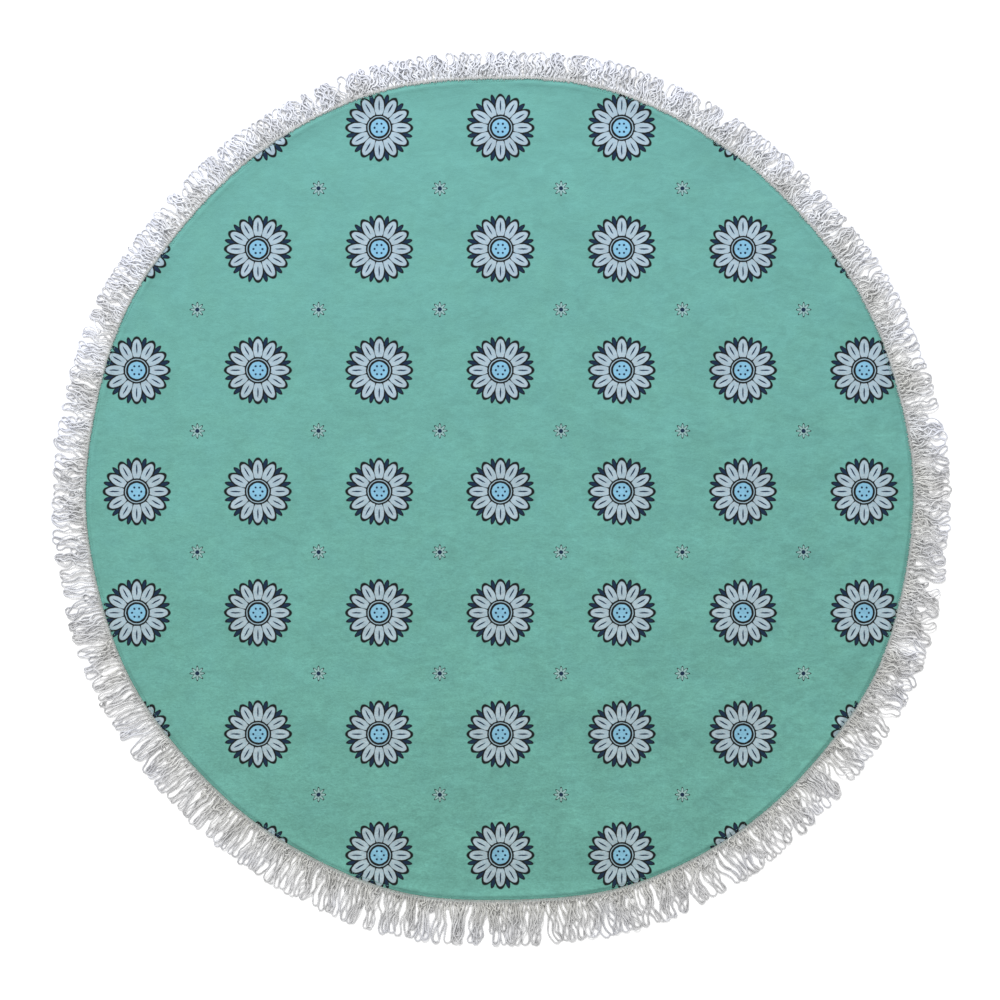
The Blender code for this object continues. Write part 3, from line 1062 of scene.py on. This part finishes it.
def yarnMaterial(name):
    kind = yarns[name]
    material, tree, shader = newMaterial(name, yarnLook)
    place = placeOf(tree)
    x, y, _ = parts(tree, place)
    # painted light: lighter and bluer towards +Y, warmer towards -Y, with a random wash
    toTop = spread(tree, maths(tree, "MULTIPLY_ADD", x, yarnLook["slant"], y), *yarnLook["topSpan"])
    coolness = maths(tree, "ADD", toTop, varied(tree, place, *yarnLook["wash"]))
    coolness = spread(tree, coolness, 0.0, 1.0)
    tint = mixColour(tree, coolness, kind["warm"], kind["cool"])
    # painted shade and light near the header: yellower and darker there towards -Y, lighter there towards +Y
    away = addNode(tree, "ShaderNodeVectorMath", {0: place}, operation="LENGTH").outputs["Value"]
    high = spread(tree, coolness, *yarnLook["highOver"])
    atRoot = mixColour(tree, high, yarnLook["lowRoot"], yarnLook["highRoot"])
    rootShadeAndLight = mixColour(tree, spread(tree, away, *yarnLook["rootSpan"]), atRoot, yarnLook["tip"])
    fibres = noiseAt(tree, place, yarnLook["fibreScale"])
    # painted shade: short light and dark patches along the yarn where it kinks and crosses, stronger towards
    # -Y
    patches = spread(tree, noiseAt(tree, place, yarnLook["patchScale"]), *yarnLook["patchSpan"], -1.0, 1.0)
    patchy = spread(tree, coolness, *yarnLook["patchesOver"], *yarnLook["patches"])
    # painted shade in the hollow between the plies
    between = attribute(tree, "grooveShade")
    upward = parts(tree, addNode(tree, "ShaderNodeTexCoord").outputs["Normal"])[2]
    factor = product(
        tree,
        spread(tree, attribute(tree, "shade"), 0.0, 1.0, 1 - kind["contrast"], 1 + kind["contrast"]),
        fromNoise(tree, fibres, *yarnLook["fibres"]),
        maths(tree, "MULTIPLY_ADD", patches, patchy, yarnLook["patchMiddle"]),
        spread(tree, between, *yarnLook["grooveShadeSpan"], 1.0, 1 - kind["grooveShade"], smooth=True),
        varied(tree, place, *yarnLook["broad"]),
        # painted shade on the yarn's flanks, where less light gets down between the loops
        spread(tree, upward, *yarnLook["flankShadeSpan"], 1 - kind["flankShade"], 1.0, smooth=True),
    )
    paint(tree, shader, mixColour(tree, 1.0, tint, rootShadeAndLight, "MULTIPLY"), factor)
    roughen(tree, shader, fibres, *yarnLook["relief"])
    return material


whipLook = {
    "roughness": 0.9,
    "sheen": 0.1,
    "topSpan": (-0.7, 0.7),
    "pale": ((0.355, 0.358, 0.350, 1.0), (0.405, 0.410, 0.415, 1.0)),  # at -Y and at +Y
    "green": ((0.215, 0.325, 0.293, 1.0), (0.310, 0.385, 0.365, 1.0)),
    "greenSpan": (0.45, 1.0),  # of a stitch's length
    "greenest": 0.85,
    "uneven": (60.0, 2.0, 0.90, 1.08),
}


def whipMaterial():
    # greener at the stitches' inner ends, where the printed face shows between them, and painted light:
    # lighter towards +Y
    material, tree, shader = newMaterial("whipThread", whipLook)
    place = placeOf(tree)
    toTop = spread(tree, parts(tree, place)[1], *whipLook["topSpan"])
    pale, green = (mixColour(tree, toTop, *whipLook[name]) for name in ("pale", "green"))
    inward = spread(tree, attribute(tree, "along"), *whipLook["greenSpan"], 0.0, whipLook["greenest"])
    paint(tree, shader, mixColour(tree, inward, pale, green), varied(tree, place, *whipLook["uneven"]))
    return material


threadLook = {
    "roughness": 0.8,
    "sheen": 0.0,
    "colour": (0.120, 0.320, 0.280, 1.0),
    "grain": (500.0, 1.0, 0.9, 1.1),
}


def threadMaterial():
    material, tree, shader = newMaterial("hemThread", threadLook)
    paint(tree, shader, threadLook["colour"], varied(tree, placeOf(tree), *threadLook["grain"]))
    return material


# Light, floor and camera

studio = {
    "floorSize": 60.0,
    "floorColour": (0.97, 0.97, 0.97, 1.0),
    "roughness": 0.9,
    "sheen": 0.0,
    "worldStrength": 0.90,
    "lightAt": (-1.3, 4.2, 4.2),
    "lightSize": 2.4,
    "lightPower": 340.0,
    "cameraAt": (-0.0008, -0.0144, 4.714),
    "lens": 100.0,
    "sensor": 36.0,
}


def makeStudio():
    scene = bpy.context.scene
    scene.view_settings.view_transform = "Standard"
    world = bpy.data.worlds.new("studio")
    world.use_nodes = True
    background = world.node_tree.nodes["Background"]
    background.inputs["Color"].default_value = (1.0, 1.0, 1.0, 1.0)
    background.inputs["Strength"].default_value = studio["worldStrength"]
    scene.world = world

    half = studio["floorSize"] / 2
    corners = [(-half, -half, 0), (half, -half, 0), (half, half, 0), (-half, half, 0)]
    material, _, shader = newMaterial("whiteFloor", studio)
    shader.inputs["Base Color"].default_value = studio["floorColour"]
    floor = meshFrom("floor", corners, [(0, 1, 2, 3)], material)

    lamp = bpy.data.lights.new("softbox", "AREA")
    lamp.shape = "DISK"
    lamp.size = studio["lightSize"]
    lamp.energy = studio["lightPower"]
    softbox = linked("softbox", lamp)
    softbox.location = studio["lightAt"]
    softbox.rotation_euler = (-Vector(studio["lightAt"])).to_track_quat("-Z", "Y").to_euler()

    view = bpy.data.cameras.new("camera")
    view.lens = studio["lens"]
    view.sensor_width = studio["sensor"]
    camera = linked("camera", view)
    camera.location = studio["cameraAt"]
    scene.camera = camera


def triangles(*pieces):
    return [sum(len(face.vertices) - 2 for face in piece.data.polygons) for piece in pieces]


makeStudio()
print("studio ready")

nap = napGroup()
printedFace = printedFaceMaterial(nap)
terryBack = terryMaterial(nap)
thread = threadMaterial()
fringeYarn = yarnMaterial("fringeYarn")
headerYarn = yarnMaterial("headerYarn")
whipThread = whipMaterial()
print("materials ready")

clothPiece = makeCloth(printedFace, terryBack)
sewing = stitchTree()
stitches = makeStitches(thread, sewing)
print("cloth and stitches:", triangles(clothPiece, stitches), "triangles")

yarn = yarnTree()
headerBand = makeHeader(headerYarn)
cord = makeCord(headerYarn, yarn)
whip = makeWhipping(whipThread, sewing)
print("header:", triangles(headerBand, cord, whip), "triangles")

loops = makeLoops(fringeYarn, yarn) + [makeCurls(fringeYarn, yarn)]
print("loops:", triangles(*loops), "triangles")

for piece in (clothPiece, stitches):
    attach(piece, "root")
    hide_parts("cloth")
for piece in (headerBand, cord, whip, *loops):
    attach(piece, "root")
    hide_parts("fringe")
